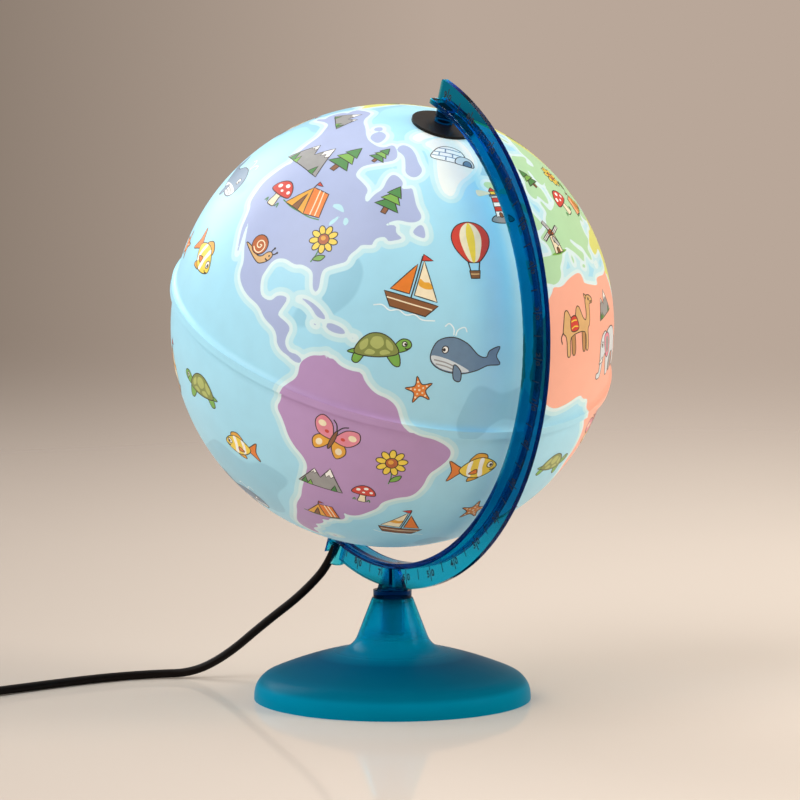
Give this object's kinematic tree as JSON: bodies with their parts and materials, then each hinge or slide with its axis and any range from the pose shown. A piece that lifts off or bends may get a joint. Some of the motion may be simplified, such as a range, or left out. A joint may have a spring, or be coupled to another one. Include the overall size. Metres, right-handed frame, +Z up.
{
  "type": "desktop globe",
  "caption": "Lit desktop globe: a hollow ball with a raised belt turns on a tilted axis in a clear half-circle arm with a degree scale, on a dished foot, with a mains lead, switch and plug.",
  "frame": {"origin": "middle of the foot's underside, on the table", "axes": "+Z up; the arm lies in the XZ plane on the +X side, and the ball's axis leans 23.5 degrees to +X"},
  "size_m": [0.3692, 0.4819, 0.3517],
  "materials": {
    "frosted_blue": "frosted translucent moulding",
    "clear_blue": "clear tinted moulding",
    "map_shell": "printed map under a satin varnish",
    "black_plastic": "fine satin",
    "rocker_plastic": "gloss",
    "lead_sheath": "satin sheath",
    "spring_steel": "dark spring steel",
    "steel": "zinc plated",
    "white_plastic": "satin",
    "ceramic": "glazed ceramic",
    "brass": "bright stamped",
    "nickel": "nickel plated",
    "bulb_cap_metal": "bright",
    "bulb_glass": "clear",
    "brown_core": "insulated core",
    "blue_core": "insulated core"
  },
  "bodies": {
    "stand": {"arm_screw": "steel", "arm_washer": "steel", "base_shell": "frosted_blue", "bulb_cap": "bulb_cap_metal", "bulb_contact": "brass", "bulb_filament": "steel", "bulb_glass": "bulb_glass", "bulb_mount": "bulb_glass", "coil_tie": "black_plastic", "cord_coil": "lead_sheath", "cord_grip": "lead_sheath", "cord_lead": "lead_sheath", "cord_link": "lead_sheath", "cord_tail": "lead_sheath", "holder_contact": "brass", "holder_core": "ceramic", "holder_nut": "steel", "holder_sleeve": "brass", "holder_terminals": "brass", "lamp_holder": "white_plastic", "lamp_stem": "white_plastic", "live_wire": "brown_core", "meridian_arm": "clear_blue", "neutral_wire": "blue_core", "plug_body": "lead_sheath", "plug_pins": "nickel", "switch_base": "black_plastic", "switch_contacts": "brass", "switch_cover": "black_plastic", "switch_lever": "brass", "switch_screws": "steel"},
    "globe": {"north_hemisphere": "map_shell", "south_hemisphere": "map_shell", "north_pole_cap": "black_plastic", "north_retainer": "spring_steel", "south_pole_ring": "black_plastic", "south_retainer": "spring_steel"},
    "rocker": {"switch_rocker": "rocker_plastic"}
  },
  "joints": [
    {"name": "globe_spin", "type": "hinge", "parent": "stand", "child": "globe", "pos_m": [0, 0, 0.2123], "axis": [0.3987, 0, 0.9171], "continuous": true},
    {"name": "rocker_tip", "type": "hinge", "parent": "stand", "child": "rocker", "pos_m": [-0.127, -0.248, 0.0109], "axis": [-1, 0, 0], "range_deg": [0, 18]}
  ]
}
